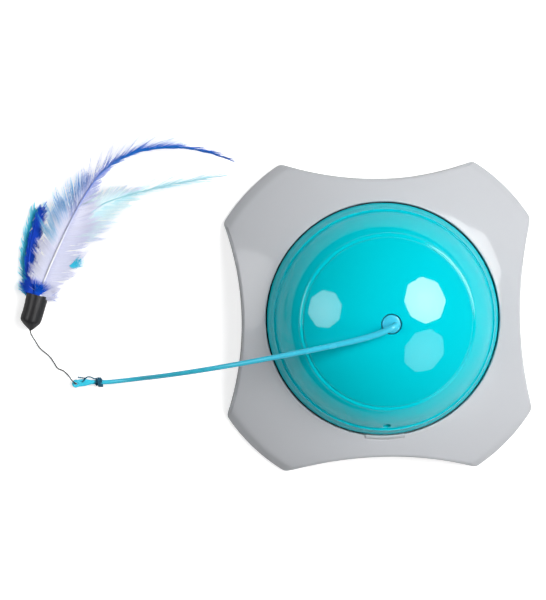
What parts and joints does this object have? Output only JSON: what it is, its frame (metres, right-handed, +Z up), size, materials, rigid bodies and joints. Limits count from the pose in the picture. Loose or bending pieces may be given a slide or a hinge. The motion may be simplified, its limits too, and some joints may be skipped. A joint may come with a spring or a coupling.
{
  "type": "remote control cat toy",
  "caption": "Motorised cat toy: a glossy four-lobed stand with a turquoise dome, whose turning spindle sweeps a springy wand with a feather lure on a string.",
  "frame": {"origin": "on the floor, under the axis of the spindle", "axes": "+Z up along the spindle, -Y towards the side with the push button, +X to the right seen from there"},
  "size_m": [0.2967, 0.1885, 0.0701],
  "materials": {
    "stand_white": "glossy cool white",
    "plate_white": "satin cool white",
    "foot_rubber": "matt dark grey",
    "gasket_rubber": "matt black",
    "dome_turquoise": "glossy turquoise",
    "window_black": "glossy black",
    "button_white": "glossy white",
    "switch_black": "matt black",
    "board_green": "lacquered green",
    "chip_black": "matt black",
    "capacitor_blue": "sleeved dark blue",
    "cell_sleeve": "printed sleeve",
    "contact_metal": "nickel plated",
    "motor_steel": "zinc plated",
    "gear_white": "natural acetal",
    "pin_steel": "ground",
    "frame_grey": "moulded grey",
    "wand_blue": "glossy sky blue",
    "string_grey": "twisted",
    "knot_blue": "twisted dark blue",
    "cap_black": "matt black",
    "feather_white": "downy, tinged lavender and blue",
    "feather_aqua": "downy pale aqua",
    "feather_royal": "downy royal blue",
    "feather_turquoise": "downy turquoise",
    "screw_steel": "zinc plated",
    "lead_red": "sleeved red",
    "lead_black": "sleeved black"
  },
  "bodies": {
    "housing": {"stand_shell": "stand_white", "base_plate": "plate_white", "rubber_feet": "foot_rubber", "rim_gasket": "gasket_rubber", "dome_cover": "dome_turquoise", "receiver_window": "window_black", "switch_body": "switch_black", "circuit_board": "board_green", "controller_chip": "chip_black", "capacitor": "capacitor_blue", "receiver": "chip_black", "battery_cells": "cell_sleeve", "contact_plates": "contact_metal", "motor_can": "motor_steel", "motor_end_cap": "frame_grey", "gear_pins": "pin_steel", "gearbox_base": "frame_grey", "gearbox_cover": "frame_grey", "gearbox_pillars": "frame_grey", "dome_screws": "screw_steel", "stand_screws": "screw_steel", "gearbox_screws": "screw_steel", "board_screws": "screw_steel", "battery_leads": "lead_red", "motor_leads": "lead_black"},
    "battery_door": {"battery_door": "plate_white"},
    "power_button": {"power_button": "button_white", "switch_plunger": "switch_black"},
    "motor_rotor": {"motor_shaft": "pin_steel", "motor_pinion": "gear_white"},
    "first_gear": {"first_gear": "gear_white"},
    "second_gear": {"second_gear": "gear_white"},
    "spindle": {"spindle": "frame_grey", "output_gear": "gear_white"},
    "wand": {"wand_plug": "wand_blue", "wand_rod": "wand_blue", "wand_knot": "knot_blue"},
    "lure": {"lure_string": "string_grey", "lure_cap": "cap_black", "white_feather": "feather_white", "aqua_feather": "feather_aqua", "royal_feather": "feather_royal", "turquoise_feather": "feather_turquoise"}
  },
  "joints": [
    {"name": "spindle_spin", "type": "hinge", "parent": "housing", "child": "spindle", "pos_m": [0, 0, 0.03], "axis": [0, 0, 1], "continuous": true},
    {"name": "second_gear_spin", "type": "hinge", "parent": "housing", "child": "second_gear", "pos_m": [0.0144, 0, 0.03], "axis": [0, 0, 1], "continuous": true},
    {"name": "first_gear_spin", "type": "hinge", "parent": "housing", "child": "first_gear", "pos_m": [0.0282, 0, 0.03], "axis": [0, 0, 1], "continuous": true},
    {"name": "motor_spin", "type": "hinge", "parent": "housing", "child": "motor_rotor", "pos_m": [0.042, 0, 0.03], "axis": [0, 0, 1], "continuous": true},
    {"name": "wand_pull", "type": "slide", "parent": "spindle", "child": "wand", "axis": [0, 0, 1], "range_m": [0, 0.01]},
    {"name": "lure_swing", "type": "hinge", "parent": "wand", "child": "lure", "pos_m": [-0.1721, -0.03439, 0.0024], "axis": [0, 0, 1], "range_deg": [0, 90]},
    {"name": "button_press", "type": "slide", "parent": "housing", "child": "power_button", "axis": [0, 0, -1], "range_m": [0, 0.001], "stiffness_N_per_m": 800},
    {"name": "door_slide", "type": "slide", "parent": "housing", "child": "battery_door", "axis": [1, 0, 0], "range_m": [0, 0.008]}
  ],
  "couplings": [
    {"joint": "second_gear_spin", "follows": "spindle_spin", "ratio": -3.8},
    {"joint": "first_gear_spin", "follows": "spindle_spin", "ratio": 13.68},
    {"joint": "motor_spin", "follows": "spindle_spin", "ratio": -49.248}
  ]
}
